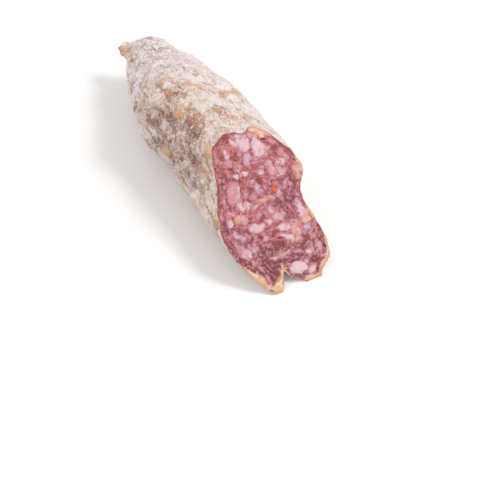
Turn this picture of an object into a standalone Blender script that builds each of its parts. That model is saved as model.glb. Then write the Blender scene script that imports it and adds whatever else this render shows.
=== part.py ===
"""Dry cured sausage in its natural casing, with slices already cut away on the slant.

It lies along X on a flattened underside. The twisted tail is at -X, and at +X a
long slanting cut runs from the crest of the sausage down to a thin edge on the table.
Written in metres, with the millimetre values below scaled by MM.
"""

import math

import bmesh
import bpy
import numpy as np
from mathutils import Vector

MM = 0.001

# Driving sizes, in millimetres
WHOLE_LENGTH = 171.0      # twisted tail to the thin near edge of the cut
FLATTENING = 0.97         # height of a section over its width, from lying on one side
MIDDLE_ALONG = 84.72      # where the middle of the finished piece lies, from the tail
MIDDLE_SIDE = 0.69        # and how far to one side

# The body's stations: distance from the tail, half-width, and where the middle sits
# in Y and above the table. The twisted stub is small and off to one side.
STATIONS = (
    (0.0, 3.0, -7.0, 21.0),
    (4.0, 3.0, -7.0, 21.5),
    (9.0, 8.0, -1.5, 22.0),
    (16.0, 12.5, -1.0, 23.0),
    (26.0, 15.5, -1.0, 23.5),
    (40.0, 20.5, -1.5, 24.0),
    (56.0, 24.5, -2.5, 24.0),
    (74.0, 26.0, 0.5, 24.0),
    (95.0, 27.0, 1.0, 24.0),
    (118.0, 27.0, 1.0, 24.0),
    (150.0, 27.0, 1.0, 24.0),
    (190.0, 27.0, 1.0, 24.0),
)

# The slanting cut
CUT_SLOPE = math.radians(35.5)     # between the knife's path and the table
KNIFE_WAVE = 0.35                  # depth of the waves that the blade leaves
CUT_HALF_LENGTH = 62.0             # of the cutter along the slope
CUT_HALF_WIDTH = 34.0
CUTTER_DEPTH = 62.0

# Mesh spacing
SIDES = 84
RING_SPACING = 2.9
FIRST_RING = 0.7
SPARE_LENGTH = 16.0       # of the loft past the cut, taken off with it
CUT_CELL = 2.4

# Ridges (+) and hollows (-) that run along the cut end of the body:
# angle in degrees from +Y towards +Z, height, spread in degrees
CUT_END_FOLDS = (
    (-135.0, -1.0, 20.0),
    (-99.0, -4.0, 4.0),
    (-88.0, -4.5, 12.0),
    (-68.0, 2.0, 9.0),
    (-40.0, 3.0, 9.0),
    (-3.0, -5.5, 13.0),
    (6.0, -1.2, 3.0),
    (14.0, 1.2, 3.5),
    (23.0, 3.0, 9.0),
    (78.0, -4.0, 9.0),
    (108.0, -2.0, 12.0),
    (140.0, -4.0, 13.0),
    (164.0, -4.0, 14.0),
)
CUT_FOLDS_FROM = 62.0     # distance from the tail where those folds begin
CUT_FOLDS_FULL = 118.0    # and where they are fully formed

# Pleats that gather the casing into the tail
TAIL_PLEATS = 5
PLEAT_DEPTH = 0.10        # as a share of the half-width
PLEAT_LENGTH = 46.0
SHOULDER = (9.0, 40.0, 3.0, 6.5)   # lump beside the tail: along, degrees, height, spread

# Bare lumps where a large piece of fat lies under the casing:
# distance from the tail, degrees, height, spread
FAT_LUMPS = (
    (75.0, 45.0, 1.2, 4.5),
    (77.0, 125.0, 0.8, 3.5),
    (105.0, 128.0, 0.7, 5.0),
    (55.0, 108.0, 0.6, 4.0),
    (68.0, 86.0, 0.6, 4.0),
)

# Smaller lumps all over
LUMP_SEED = 11
LUMPS = 120
LUMP_HEIGHT = (0.20, 1.00)
LUMP_SPREAD = (2.6, 5.0)

# Slow unevenness of the whole body
UNEVEN_SEED = 4
UNEVEN_WAVES = 14
UNEVEN_DEPTH = 0.26


def eased(low, high, value):
    """0 below low, 1 above high, and a smooth step between them."""
    t = np.clip((value - low) / (high - low), 0.0, 1.0)
    return t * t * (3.0 - 2.0 * t)


def bell(distance, spread):
    return np.exp(-0.5 * (distance / spread) ** 2)


def turn_between(angle, centre):
    """The signed turn from centre to angle, in radians, within half a turn."""
    return (angle - centre + math.pi) % (2.0 * math.pi) - math.pi


def through_stations(column, along):
    """A smooth curve through one column of the stations, at a distance along the body."""
    places = np.array([row[0] for row in STATIONS])
    values = np.array([row[column] for row in STATIONS])
    slopes = np.gradient(values, places)
    i = np.clip(np.searchsorted(places, along) - 1, 0, len(places) - 2)
    span = places[i + 1] - places[i]
    t = np.clip((along - places[i]) / span, 0.0, 1.0)
    start = (1.0 + 2.0 * t) * (1.0 - t) ** 2 * values[i]
    start += t * (1.0 - t) ** 2 * span * slopes[i]
    finish = t * t * (3.0 - 2.0 * t) * values[i + 1]
    finish -= t * t * (1.0 - t) * span * slopes[i + 1]
    return start + finish


def plain_half_width(along):
    """Half-width of the sausage at a distance along it, before folds and lumps."""
    return through_stations(1, along) * eased(-1.8, 1.0, along)


def cut_end_folds(along, angle):
    strength = eased(CUT_FOLDS_FROM, CUT_FOLDS_FULL, along)
    height = np.zeros_like(angle)
    for degrees, rise, spread in CUT_END_FOLDS:
        height += rise * bell(
            np.degrees(turn_between(angle, math.radians(degrees))), spread
        )
    return height * strength


def tail_gathers(along, angle):
    """Pleats run into the twist, and one shoulder stands up beside it."""
    fading = 1.0 - eased(0.0, PLEAT_LENGTH, along)
    pleats = np.abs(np.sin(0.5 * TAIL_PLEATS * angle + 0.05 * along + 0.4)) - 0.6
    where, degrees, height, spread = SHOULDER
    radius = plain_half_width(along)
    around = turn_between(angle, math.radians(degrees)) * np.maximum(radius, 4.0)
    shoulder = height * bell(np.hypot(along - where, around), spread)
    return PLEAT_DEPTH * radius * pleats * fading + shoulder


def one_lump(along, angle, where, facing, rise, spread):
    """A rounded lump, a little longer along the sausage than around it."""
    around = turn_between(angle, facing) * plain_half_width(where)
    return rise * bell(np.hypot((along - where) * 0.8, around), spread)


def lumps(along, angle):
    """The bare lumps of fat, and seeded smaller ones spread evenly over the casing."""
    height = np.full_like(angle, -0.45)
    for where, degrees, rise, spread in FAT_LUMPS:
        height += one_lump(along, angle, where, math.radians(degrees), rise, spread)
    draw = np.random.default_rng(LUMP_SEED)
    for _ in range(LUMPS):
        where = draw.uniform(8.0, WHOLE_LENGTH + 6.0)
        facing = draw.uniform(-math.pi, math.pi)
        rise = draw.uniform(*LUMP_HEIGHT)
        spread = draw.uniform(*LUMP_SPREAD)
        height += one_lump(along, angle, where, facing, rise, spread)
    return height


def unevenness(along, angle):
    draw = np.random.default_rng(UNEVEN_SEED)
    height = np.zeros_like(angle)
    for _ in range(UNEVEN_WAVES):
        turns = draw.integers(1, 6)
        per_mm = draw.uniform(0.03, 0.16)
        start = draw.uniform(0.0, 2.0 * math.pi)
        height += np.sin(turns * angle + per_mm * along + start)
    strength = eased(4.0, 40.0, along) * (1.0 - 0.7 * eased(80.0, 112.0, along))
    return UNEVEN_DEPTH * height * strength


def casing_radius(along, angle):
    """Distance from the axis to the outside of the casing."""
    smooth = plain_half_width(along)
    relief = cut_end_folds(along, angle) + unevenness(along, angle)
    relief += lumps(along, angle) * eased(3.0, 24.0, along)
    return smooth + relief + tail_gathers(along, angle)


def casing_point(along, angle):
    """X, Y and Z in millimetres, X counted from the tail's tip. The table flattens it at Z 0."""
    radius = casing_radius(along, angle)
    y = through_stations(2, along) + radius * np.cos(angle)
    z = through_stations(3, along) + FLATTENING * radius * np.sin(angle)
    return along, y, np.maximum(z, 0.0)


def knife_wave(side, down):
    """How far the cut face stands out of a flat plane, at a place on the cut."""
    wave = 0.55 * np.sin(0.105 * down + 0.07 * side + 0.6)
    wave += 0.30 * np.sin(0.21 * side - 0.13 * down + 2.0)
    wave += 0.22 * np.sin(0.43 * down + 0.31 * side)
    wave += 0.20 * np.sin(0.52 * side - 0.24 * down + 1.1)
    return KNIFE_WAVE * wave


def ring_places():
    """Distances along the sausage of its rings of points, closer together at the tail."""
    places = [-1.2]
    step = FIRST_RING
    while places[-1] < WHOLE_LENGTH + SPARE_LENGTH:
        places.append(places[-1] + step)
        step = min(RING_SPACING, step * 1.13)
    return places


def side_angles():
    """Angles of a ring's points, crowded where the underside folds in."""
    even = np.linspace(-math.pi, math.pi, SIDES, endpoint=False)
    fold = math.radians(CUT_END_FOLDS[0][0])
    return even - 0.30 * np.sin(turn_between(even, fold)) * bell(
        turn_between(even, fold), 0.8
    )


def material(name, colour, roughness):
    made = bpy.data.materials.new(name)
    made.use_nodes = True
    shader = made.node_tree.nodes["Principled BSDF"]
    shader.inputs["Base Color"].default_value = (*colour, 1.0)
    shader.inputs["Roughness"].default_value = roughness
    return made


def placed(x, y, z):
    """A point in metres, counted from under the middle of the finished piece."""
    return Vector((x - MIDDLE_ALONG, y - MIDDLE_SIDE, z)) * MM


def lofted_body():
    """The sausage before cutting: rings of points bridged together, closed at both ends."""
    mesh = bmesh.new()
    angles = side_angles()
    rings = []
    for along in ring_places():
        points = zip(*casing_point(np.full(SIDES, along), angles))
        rings.append([mesh.verts.new(placed(*point)) for point in points])
    for near, far in zip(rings, rings[1:]):
        for i in range(SIDES):
            j = (i + 1) % SIDES
            mesh.faces.new((near[i], near[j], far[j], far[i]))
    tip = sum((vert.co for vert in rings[0]), Vector()) / SIDES
    tip_vert = mesh.verts.new(tip - Vector((0.4 * MM, 0.0, 0.0)))
    for i in range(SIDES):
        mesh.faces.new((rings[0][(i + 1) % SIDES], rings[0][i], tip_vert))
    mesh.faces.new(rings[-1])
    bmesh.ops.recalc_face_normals(mesh, faces=mesh.faces)
    return mesh


def knife_block():
    """What the knife takes off: a block whose underside is the waved, sloping cut face."""
    mesh = bmesh.new()
    across = round(2.0 * CUT_HALF_WIDTH / CUT_CELL)
    down = round(2.0 * CUT_HALF_LENGTH / CUT_CELL)
    bmesh.ops.create_grid(mesh, x_segments=across, y_segments=down, size=1.0)
    middle = Vector((WHOLE_LENGTH - 30.0, 0.0, 22.0))
    along_cut = Vector((math.cos(CUT_SLOPE), 0.0, -math.sin(CUT_SLOPE)))
    outward = Vector((math.sin(CUT_SLOPE), 0.0, math.cos(CUT_SLOPE)))
    near_edge = Vector((WHOLE_LENGTH, 0.0, 0.0))
    middle -= outward * (middle - near_edge).dot(outward)
    for vert in mesh.verts:
        side = vert.co.x * CUT_HALF_WIDTH
        slope = vert.co.y * CUT_HALF_LENGTH
        rise = float(knife_wave(side, slope))
        place = middle + Vector((0.0, side, 0.0)) + along_cut * slope + outward * rise
        vert.co = placed(*place)
    made = bmesh.ops.extrude_face_region(mesh, geom=mesh.faces[:])
    far_side = [item for item in made["geom"] if isinstance(item, bmesh.types.BMVert)]
    bmesh.ops.translate(mesh, verts=far_side, vec=outward * CUTTER_DEPTH * MM)
    bmesh.ops.recalc_face_normals(mesh, faces=mesh.faces)
    return mesh


def object_from(name, mesh):
    data = bpy.data.meshes.new(name)
    mesh.to_mesh(data)
    mesh.free()
    made = bpy.data.objects.new(name, data)
    bpy.context.scene.collection.objects.link(made)
    return made


def build():
    for old in list(bpy.data.objects):
        bpy.data.objects.remove(old)
    sausage = object_from("sausage", lofted_body())
    sausage.data.materials.append(material("mould_white_casing", (0.60, 0.48, 0.42), 0.85))
    sausage.data.shade_smooth()
    sausage.data.set_sharp_from_angle(angle=math.radians(50.0))
    knife = object_from("knife_cut", knife_block())
    knife.hide_render = True
    knife.display_type = "WIRE"
    cut = sausage.modifiers.new("slant_cut", "BOOLEAN")
    cut.operation = "DIFFERENCE"
    cut.solver = "EXACT"
    cut.object = knife


build()
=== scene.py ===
"""A dry cured sausage, lying on its side, with slices already cut away on the slant."""
import math

import bpy
import numpy as np
from mathutils import Matrix, Vector
from mathutils.geometry import delaunay_2d_cdt


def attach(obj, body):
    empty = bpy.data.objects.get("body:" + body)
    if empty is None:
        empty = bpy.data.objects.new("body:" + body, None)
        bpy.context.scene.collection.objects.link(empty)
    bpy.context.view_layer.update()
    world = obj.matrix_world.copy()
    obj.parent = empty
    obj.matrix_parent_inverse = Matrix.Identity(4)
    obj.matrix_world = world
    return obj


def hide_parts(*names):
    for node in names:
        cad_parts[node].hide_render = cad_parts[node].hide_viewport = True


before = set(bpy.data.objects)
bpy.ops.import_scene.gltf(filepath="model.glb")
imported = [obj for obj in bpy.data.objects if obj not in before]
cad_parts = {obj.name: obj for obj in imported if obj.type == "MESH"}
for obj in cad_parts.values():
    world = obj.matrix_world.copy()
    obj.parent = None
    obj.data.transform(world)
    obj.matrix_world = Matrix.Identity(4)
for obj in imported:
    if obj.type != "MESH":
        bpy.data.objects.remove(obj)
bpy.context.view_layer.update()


# The casing
# A natural gut, drawn tight over the meat as it dried and dusted all over with white
# mould. It is bare and amber where fat lies under it, and streaked low on one flank, where
# its grey is partly painted shade.

MM = 0.001
WHOLE_LENGTH = 171.0
FLATTENING = 0.97
MIDDLE_ALONG = 84.72
MIDDLE_SIDE = 0.69
# Down the sausage: place from the tail, half-width, and the middle's side and height
STATIONS = (
    (0, 3, -7, 21), (4, 3, -7, 21.5), (9, 8, -1.5, 22), (16, 12.5, -1, 23), (26, 15.5, -1, 23.5),
    (40, 20.5, -1.5, 24), (56, 24.5, -2.5, 24), (74, 26, 0.5, 24), (95, 27, 1, 24), (118, 27, 1, 24),
    (150, 27, 1, 24), (190, 27, 1, 24),
)
# Folds and bulges of the cut end: degrees round the sausage, rise, and spread in degrees
CUT_END_FOLDS = (
    (-135, -1, 20), (-99, -4, 4), (-88, -4.5, 12), (-68, 2, 9), (-40, 3, 9), (-3, -5.5, 13),
    (6, -1.2, 3), (14, 1.2, 3.5), (23, 3, 9), (78, -4, 9), (108, -2, 12), (140, -4, 13), (164, -4, 14),
)
FOLDS_FROM = 62.0
FOLDS_FULL = 118.0
TAIL_PLEATS = 5
PLEAT_DEPTH = 0.10
PLEAT_LENGTH = 46.0
# Place from the tail, degrees round, rise and spread of the shoulder and the fat lumps
SHOULDER = (9.0, 40.0, 3.0, 6.5)
FAT_LUMPS = (
    (75, 45, 1.2, 4.5), (77, 125, 0.8, 3.5), (105, 128, 0.7, 5), (55, 108, 0.6, 4), (68, 86, 0.6, 4),
)
LUMP_SEED = 11
LUMPS = 120
LUMP_HEIGHT = (0.20, 1.00)
LUMP_SPREAD = (2.6, 5.0)
UNEVEN_SEED = 4
UNEVEN_WAVES = 14
UNEVEN_DEPTH = 0.26
CUT_SLOPE = math.radians(35.5)
KNIFE_WAVE = 0.35
CUT_OUTWARD = np.array([math.sin(CUT_SLOPE), 0.0, math.cos(CUT_SLOPE)])
CUT_DOWN = np.array([math.cos(CUT_SLOPE), 0.0, -math.sin(CUT_SLOPE)])
NEAR_EDGE = np.array([WHOLE_LENGTH, 0.0, 0.0])
CUT_MIDDLE = np.array([WHOLE_LENGTH - 30.0, 0.0, 22.0])
CUT_MIDDLE = CUT_MIDDLE - CUT_OUTWARD * np.dot(CUT_MIDDLE - NEAR_EDGE, CUT_OUTWARD)

# Places where the mould lies thin: distance from the tail, degrees round the sausage,
# half-length, half-width and turn of each, and the look of the skin there
BARE_PATCHES = (
    (7, 155, 2.5, 1.5, 0, "amber"), (9, 143, 2.5, 1.5, 150, "brown"), (17, 138, 3, 2, 0, "amber"),
    (22, 141, 2.5, 1.2, 45, "brown"), (12, 80, 3, 1.2, 90, "faint"), (18, 102, 1.5, 1.2, 60, "faint"),
    (24, 90, 1.8, 1.2, 50, "faint"), (26, 78, 1.8, 1.2, 45, "tan"), (27, 106, 2.5, 0.6, 0, "faint"),
    (30, 104, 1.6, 1.2, 0, "tan"), (29, 143, 3, 1.2, 55, "faint"), (29, 128, 3.5, 0.7, 50, "faint"),
    (34, 167, 5, 1.6, 0, "tan"), (37, 158, 4, 1.2, 0, "faint"), (38, 166, 2.5, 1, 170, "brown"),
    (36, 104, 2.5, 1, 50, "faint"), (38, 88, 3, 1, 45, "tan"), (43, 145, 1.8, 0.8, 20, "brown"),
    (48, 134, 3, 1.2, 10, "tan"), (47, 92, 3, 0.8, 60, "faint"), (48, 158, 2.5, 1.5, 150, "brown"),
    (51, 160, 2, 0.9, 0, "brown"), (49, 109, 2, 1, 60, "amber"), (52, 79, 2.6, 0.6, 10, "brown"),
    (54, 139, 3.5, 1, 15, "tan"), (55, 145, 1.5, 0.7, 50, "brown"), (55, 106, 3.5, 1.5, 70, "amber"),
    (55, 113, 3.2, 1.2, 150, "tan"), (55, 119, 2, 1, 150, "brown"), (57, 157, 3, 0.9, 0, "faint"),
    (59, 102, 2.5, 1.2, 45, "tan"), (59, 72, 2.6, 0.9, 105, "tan"), (61, 117, 3, 1.6, 10, "brown"),
    (63, 48, 2.5, 1.2, 60, "faint"), (63, 155, 1.2, 0.8, 0, "brown"), (64, 171, 4, 0.9, 165, "tan"),
    (65, 101, 2, 0.9, 0, "brown"), (66, 114, 4.5, 2.6, 60, "brown"), (67, 121, 2.5, 1.3, 130, "brown"),
    (68, 107, 2.5, 1, 50, "brown"), (66, 156, 2.8, 0.9, 50, "brown"), (66, 88, 5.5, 1.2, 60, "amber"),
    (70, 85, 3.2, 1.2, 10, "tan"), (70, 92, 2, 0.6, 0, "faint"), (71, 107, 2.2, 0.7, 0, "brown"),
    (67, 71, 4.5, 0.9, 60, "faint"), (71, 69, 2.2, 0.7, 0, "faint"), (76, 82, 2.5, 0.8, 10, "faint"),
    (77.5, 126, 4.2, 2.4, 5, "amber"), (79.5, 115, 4, 1.5, 125, "tan"), (81, 110, 2.4, 1.5, 40, "tan"),
    (75, 58, 4, 1.8, 75, "amber"), (75, 43, 3.8, 3.6, 20, "amber"), (78, 68, 2, 1.2, 100, "amber"),
    (77, 62, 2, 1, 45, "tan"), (86, 119, 5, 2, 35, "brown"), (84, 122, 2.5, 1.2, 140, "brown"),
    (85, 111, 2.4, 1, 60, "tan"), (89.5, 111, 3, 1.2, 10, "brown"), (93, 113, 2.5, 1.4, 120, "brown"),
    (96.5, 115, 2, 0.8, 0, "tan"), (81, 176, 4.5, 3, 30, "amber"), (84, 167, 3, 0.9, 140, "brown"),
    (88, 171, 4, 1.2, 165, "brown"), (88, 150, 3, 1.2, 20, "tan"), (84, 62, 3, 0.9, 0, "tan"),
    (82, 43, 2.2, 0.7, 0, "brown"), (90, 66, 2, 0.7, 0, "faint"), (84.5, 86, 1.5, 0.8, 90, "brown"),
    (87, 82, 2.4, 0.9, 20, "brown"), (88, 90, 2.6, 1.6, 50, "tan"), (91, 88, 2.6, 1, 130, "brown"),
    (90, 84, 2, 0.8, 0, "brown"), (94, 79, 4, 2, 45, "tan"), (95.5, 73, 2, 1.6, 60, "amber"),
    (94.5, 89, 1.5, 0.8, 100, "brown"), (98, 85, 2.6, 0.5, 0, "faint"), (98, 64, 2.8, 0.8, 0, "brown"),
    (104.5, 124, 5.5, 1.6, 160, "amber"), (106.5, 129, 2.5, 1.2, 150, "brown"),
    (108, 122, 4.5, 1.4, 165, "amber"), (108, 148, 5, 1.6, 10, "tan"), (113, 139, 4.5, 1.6, 150, "tan"),
    (115, 151, 2.6, 1.2, 20, "brown"), (117, 160, 2.2, 1, 150, "brown"), (123, 162, 4, 1.2, 150, "tan"),
    (125, 180, 3.5, 0.9, 170, "brown"), (132, -178, 5, 1.8, 160, "tan"), (74, 136, 7, 4, 0, "worn"),
    (70, 157, 6.5, 3, 0, "worn"), (86, 129, 6, 3, 0, "worn"), (93, 124, 4.5, 4, 0, "worn"),
    (94, 140, 6, 2.5, 0, "worn"), (72, 174, 5, 2.5, 0, "worn"), (78, 169, 3.5, 1.8, 0, "worn"),
    (101, 142, 5, 2.5, 0, "worn"), (107, 168, 6, 2.5, 0, "worn"), (98, 151, 4.5, 2, 0, "worn"),
    (103, 180, 5, 2, 0, "worn"),
)
# Each look: colour from red-brown (0) to amber (1), and how bare the skin is; where it is
# worn, mould and dark skin lie in fine streaks
SKIN_LOOKS = {
    "amber": (1.00, 1.00),
    "tan": (0.62, 0.90),
    "brown": (0.22, 0.95),
    "faint": (0.40, 0.65),
    "worn": (0.00, 1.00),
}


def eased(low, high, value):
    t = np.clip((value - low) / (high - low), 0.0, 1.0)
    return t * t * (3.0 - 2.0 * t)


def bell(distance, spread):
    return np.exp(-0.5 * (distance / spread) ** 2)


def turn_between(angle, centre):
    return (angle - centre + math.pi) % (2.0 * math.pi) - math.pi


def through_stations(column, along):
    places = np.array([row[0] for row in STATIONS])
    values = np.array([row[column] for row in STATIONS])
    slopes = np.gradient(values, places)
    i = np.clip(np.searchsorted(places, along) - 1, 0, len(places) - 2)
    span = places[i + 1] - places[i]
    t = np.clip((along - places[i]) / span, 0.0, 1.0)
    start = (1.0 + 2.0 * t) * (1.0 - t) ** 2 * values[i]
    start += t * (1.0 - t) ** 2 * span * slopes[i]
    finish = t * t * (3.0 - 2.0 * t) * values[i + 1]
    finish -= t * t * (1.0 - t) * span * slopes[i + 1]
    return start + finish


def plain_half_width(along):
    return through_stations(1, along) * eased(-1.8, 1.0, along)


def turned_by(degrees, ahead, across):
    """How far places lie along and across a direction at so many degrees."""
    c, s = math.cos(math.radians(degrees)), math.sin(math.radians(degrees))
    return c * ahead + s * across, c * across - s * ahead


def one_lump(along, angle, where, facing, rise, spread):
    around = turn_between(angle, facing) * plain_half_width(where)
    return rise * bell(np.hypot((along - where) * 0.8, around), spread)


def casing_radius(along, angle):
    """The casing's distance from the sausage's middle line, as its solid has it."""
    radius = plain_half_width(along)
    strength = eased(FOLDS_FROM, FOLDS_FULL, along)
    for degrees, rise, spread in CUT_END_FOLDS:
        turned = np.degrees(turn_between(angle, math.radians(degrees)))
        radius = radius + rise * bell(turned, spread) * strength
    draw = np.random.default_rng(UNEVEN_SEED)
    uneven = np.zeros_like(angle)
    for _ in range(UNEVEN_WAVES):
        turns = draw.integers(1, 6)
        per_mm = draw.uniform(0.03, 0.16)
        start = draw.uniform(0.0, 2.0 * math.pi)
        uneven += np.sin(turns * angle + per_mm * along + start)
    strength = eased(4.0, 40.0, along) * (1.0 - 0.7 * eased(80.0, 112.0, along))
    radius = radius + UNEVEN_DEPTH * uneven * strength
    height = np.full_like(angle, -0.45)
    for where, degrees, rise, spread in FAT_LUMPS:
        height += one_lump(along, angle, where, math.radians(degrees), rise, spread)
    draw = np.random.default_rng(LUMP_SEED)
    for _ in range(LUMPS):
        where = draw.uniform(8.0, WHOLE_LENGTH + 6.0)
        facing = draw.uniform(-math.pi, math.pi)
        rise = draw.uniform(*LUMP_HEIGHT)
        spread = draw.uniform(*LUMP_SPREAD)
        height += one_lump(along, angle, where, facing, rise, spread)
    radius = radius + height * eased(3.0, 24.0, along)
    fading = 1.0 - eased(0.0, PLEAT_LENGTH, along)
    pleats = np.abs(np.sin(0.5 * TAIL_PLEATS * angle + 0.05 * along + 0.4)) - 0.6
    plain = plain_half_width(along)
    where, degrees, rise, spread = SHOULDER
    around = turn_between(angle, math.radians(degrees)) * np.maximum(plain, 4.0)
    shoulder = rise * bell(np.hypot(along - where, around), spread)
    return radius + PLEAT_DEPTH * plain * pleats * fading + shoulder


def skin_point(along, angle, radius):
    """A place in millimetres, X counted from the tail, for a radius about the middle line."""
    y = through_stations(2, along) + radius * np.cos(angle)
    z = through_stations(3, along) + FLATTENING * radius * np.sin(angle)
    return np.stack([along, y, np.maximum(z, 0.0)], axis=-1)


def knife_wave(side, down):
    wave = 0.55 * np.sin(0.105 * down + 0.07 * side + 0.6)
    wave += 0.30 * np.sin(0.21 * side - 0.13 * down + 2.0)
    wave += 0.22 * np.sin(0.43 * down + 0.31 * side)
    wave += 0.20 * np.sin(0.52 * side - 0.24 * down + 1.1)
    return KNIFE_WAVE * wave


def above_cut(points):
    """How far points stand beyond the waved face that the knife left."""
    side = points[..., 1]
    down = (points - CUT_MIDDLE) @ CUT_DOWN
    return (points - CUT_MIDDLE) @ CUT_OUTWARD - knife_wave(side, down)


def grain(points, size, seed):
    """Smooth unevenness from -1 to 1, with swells about `size` millimetres across."""
    draw = np.random.default_rng(seed)
    leans = draw.normal(size=(4096, 3))
    leans /= np.linalg.norm(leans, axis=1)[:, None]
    spot = points / size
    cell = np.floor(spot).astype(np.int64)
    inside = spot - cell
    ease = inside ** 3 * (inside * (inside * 6.0 - 15.0) + 10.0)
    total = np.zeros(points.shape[:-1])
    for corner in np.ndindex(2, 2, 2):
        key = (cell + corner) * (73856093, 19349663, 83492791)
        lean = leans[(key[..., 0] ^ key[..., 1] ^ key[..., 2]) & 4095]
        weight = np.prod(np.where(corner, ease, 1.0 - ease), axis=-1)
        total += weight * ((inside - corner) * lean).sum(axis=-1)
    return total * 1.6


def in_metres(points):
    return (points - np.array([MIDDLE_ALONG, MIDDLE_SIDE, 0.0])) * MM


TAIL_TIP = -1.2
RIM_ROUNDING = ((0.12, 0.04), (0.3, 0.0))
ROWS_ALONG = 300
SIDES_ROUND = 280
INNER_ROWS = 18
CUT_BETWEEN = (60.0, 190.0)
HALVINGS = 40
WALL = 0.95

angles = np.linspace(-math.pi, math.pi, SIDES_ROUND, endpoint=False)
low, high = (np.full(SIDES_ROUND, place) for place in CUT_BETWEEN)
for _ in range(HALVINGS):
    half_way = 0.5 * (low + high)
    inside_cut = above_cut(skin_point(half_way, angles, casing_radius(half_way, angles))) < 0
    low = np.where(inside_cut, half_way, low)
    high = np.where(inside_cut, high, half_way)
cut_at = 0.5 * (low + high)

share = np.linspace(0.0, 1.0, ROWS_ALONG + 1)[:, None]
along = TAIL_TIP + share * (cut_at[None, :] - TAIL_TIP)
angle = np.broadcast_to(angles, along.shape).copy()
plain_radius = casing_radius(along, angle)
skin = skin_point(along, angle, plain_radius)
lengthwise = skin * (0.22, 1.0, 1.0)

bare = np.zeros_like(along)
worn = np.zeros_like(along)
amber = np.full_like(along, 0.35)
warped_along = along + 1.5 * grain(skin, 3.4, 71) + 0.6 * grain(skin, 1.3, 72)
warped_side = 1.5 * grain(skin, 3.4, 73) + 0.6 * grain(skin, 1.3, 74)
for where, degrees, half_long, half_wide, turn, look in BARE_PATCHES:
    tone, strength = SKIN_LOOKS[look]
    near = np.abs(along - where) < 14.0
    ahead = warped_along[near] - where
    toward = turn_between(math.radians(degrees), angle[near])
    across = toward * plain_half_width(where) + warped_side[near]
    u, v = turned_by(turn, ahead, across)
    far = np.hypot(u / half_long, v / half_wide)
    edge = strength * (1.0 - eased(0.25, 1.75, far))
    if look == "worn":
        worn[near] = np.maximum(worn[near], edge)
        continue
    change = edge > bare[near]
    amber[near] = np.where(change, tone, amber[near])
    bare[near] = np.maximum(bare[near], edge)

# How streaked the flank is, and how grey there as partly painted shade, how near the tail,
# how thick the mould, and how dirty
facing_flank = bell(np.degrees(turn_between(angle, math.radians(168.0))), 34.0)
flank = facing_flank * eased(38.0, 66.0, along) * (1.0 - 0.60 * eased(96.0, 122.0, along))
# the underside on that side joins the flank, to be greyed as painted shade as well
flank += 0.5 * bell(np.degrees(turn_between(angle, math.radians(-120.0))), 40.0)
flank = np.clip(flank * (1.0 + 0.5 * grain(skin, 9.0, 31)), 0.0, 1.0)
tail = 1.0 - eased(34.0, 60.0, along + 6.0 * grain(skin, 12.0, 34))
cover = 0.80 + 0.34 * grain(skin, 6.0, 32) + 0.30 * grain(skin, 2.6, 33)
cover += 0.10 * tail - 0.16 * flank - 0.34 * worn
dirty = bell(turn_between(angle, math.radians(142.0)), 0.32) * bell(along - 90.0, 13.0)
cover -= 0.14 * dirty
stain = bell(turn_between(angle, math.radians(124.0)), 0.55) * bell(along - 74.0, 24.0)
stain += 0.5 * dirty
stain += 0.7 * eased(84.0, 108.0, along)
stain = np.clip(stain * (0.8 + 0.9 * grain(skin, 6.0, 35)) + 0.22 * grain(skin, 8.0, 36), 0.0, 1.0)
# The bare nub of the tail, the fine folds of the gut, and its twist
nub = 1.0 - eased(3.0, 11.0, along)
nub *= 1.0 - 0.95 * bell(turn_between(angle, math.radians(62.0)), 0.95) * eased(-0.5, 1.5, along)
fold = np.exp(-(grain(lengthwise, 2.3, 41) / 0.09) ** 2)
fold *= eased(-0.1, 0.5, grain(skin, 11.0, 42) + 0.4 * flank)
fold += 0.7 * np.exp(-(grain(skin, 4.5, 43) / 0.05) ** 2) * (1.0 - eased(30.0, 62.0, along))
fold = np.clip(fold, 0.0, 1.0)
twist = np.sin(5.0 * angle + 0.9 * along) * (1.0 - eased(3.0, 12.0, along))

# How far the skin stands out or lies in, in millimetres
relief = 0.50 * grain(skin, 6.0, 51) + 0.30 * grain(skin, 2.6, 52)
relief += 0.10 * grain(skin, 1.25, 53) * (1.0 - bare)
relief += 0.16 * grain(lengthwise, 1.6, 54) * (0.4 + flank)
relief -= 0.34 * fold * (1.0 - 0.7 * bare)
relief -= 0.16 * bare
relief *= eased(0.0, 9.0, along) * 0.85 + 0.15
relief += 0.35 * twist
outer = skin_point(along, angle, plain_radius + relief)
slide = above_cut(outer[-1]) / CUT_OUTWARD[0]
outer[..., 0] -= slide * eased(0.90, 1.0, share)


def inner_rows(wall, rows):
    """Rings inside the casing, from just behind the cut back to the tail."""
    rings = []
    for part in 0.085 + 0.9 * np.linspace(1.0, 0.0, rows) ** 1.6:
        place = TAIL_TIP + part * (cut_at - TAIL_TIP)
        ring = skin_point(place, angles, np.maximum(casing_radius(place, angles) - wall, 0.5))
        ring[:, 2] = np.maximum(ring[:, 2], wall)
        rings.append(ring)
    return rings


def drawn_in(ring, distance):
    """A ring on the cut face, moved inwards by a distance measured across the sausage."""
    centre = ring.mean(axis=0)
    spread = np.hypot(ring[:, 1] - centre[1], ring[:, 2] - centre[2])
    return centre + (ring - centre) * (1.0 - distance / spread)[:, None]


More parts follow.
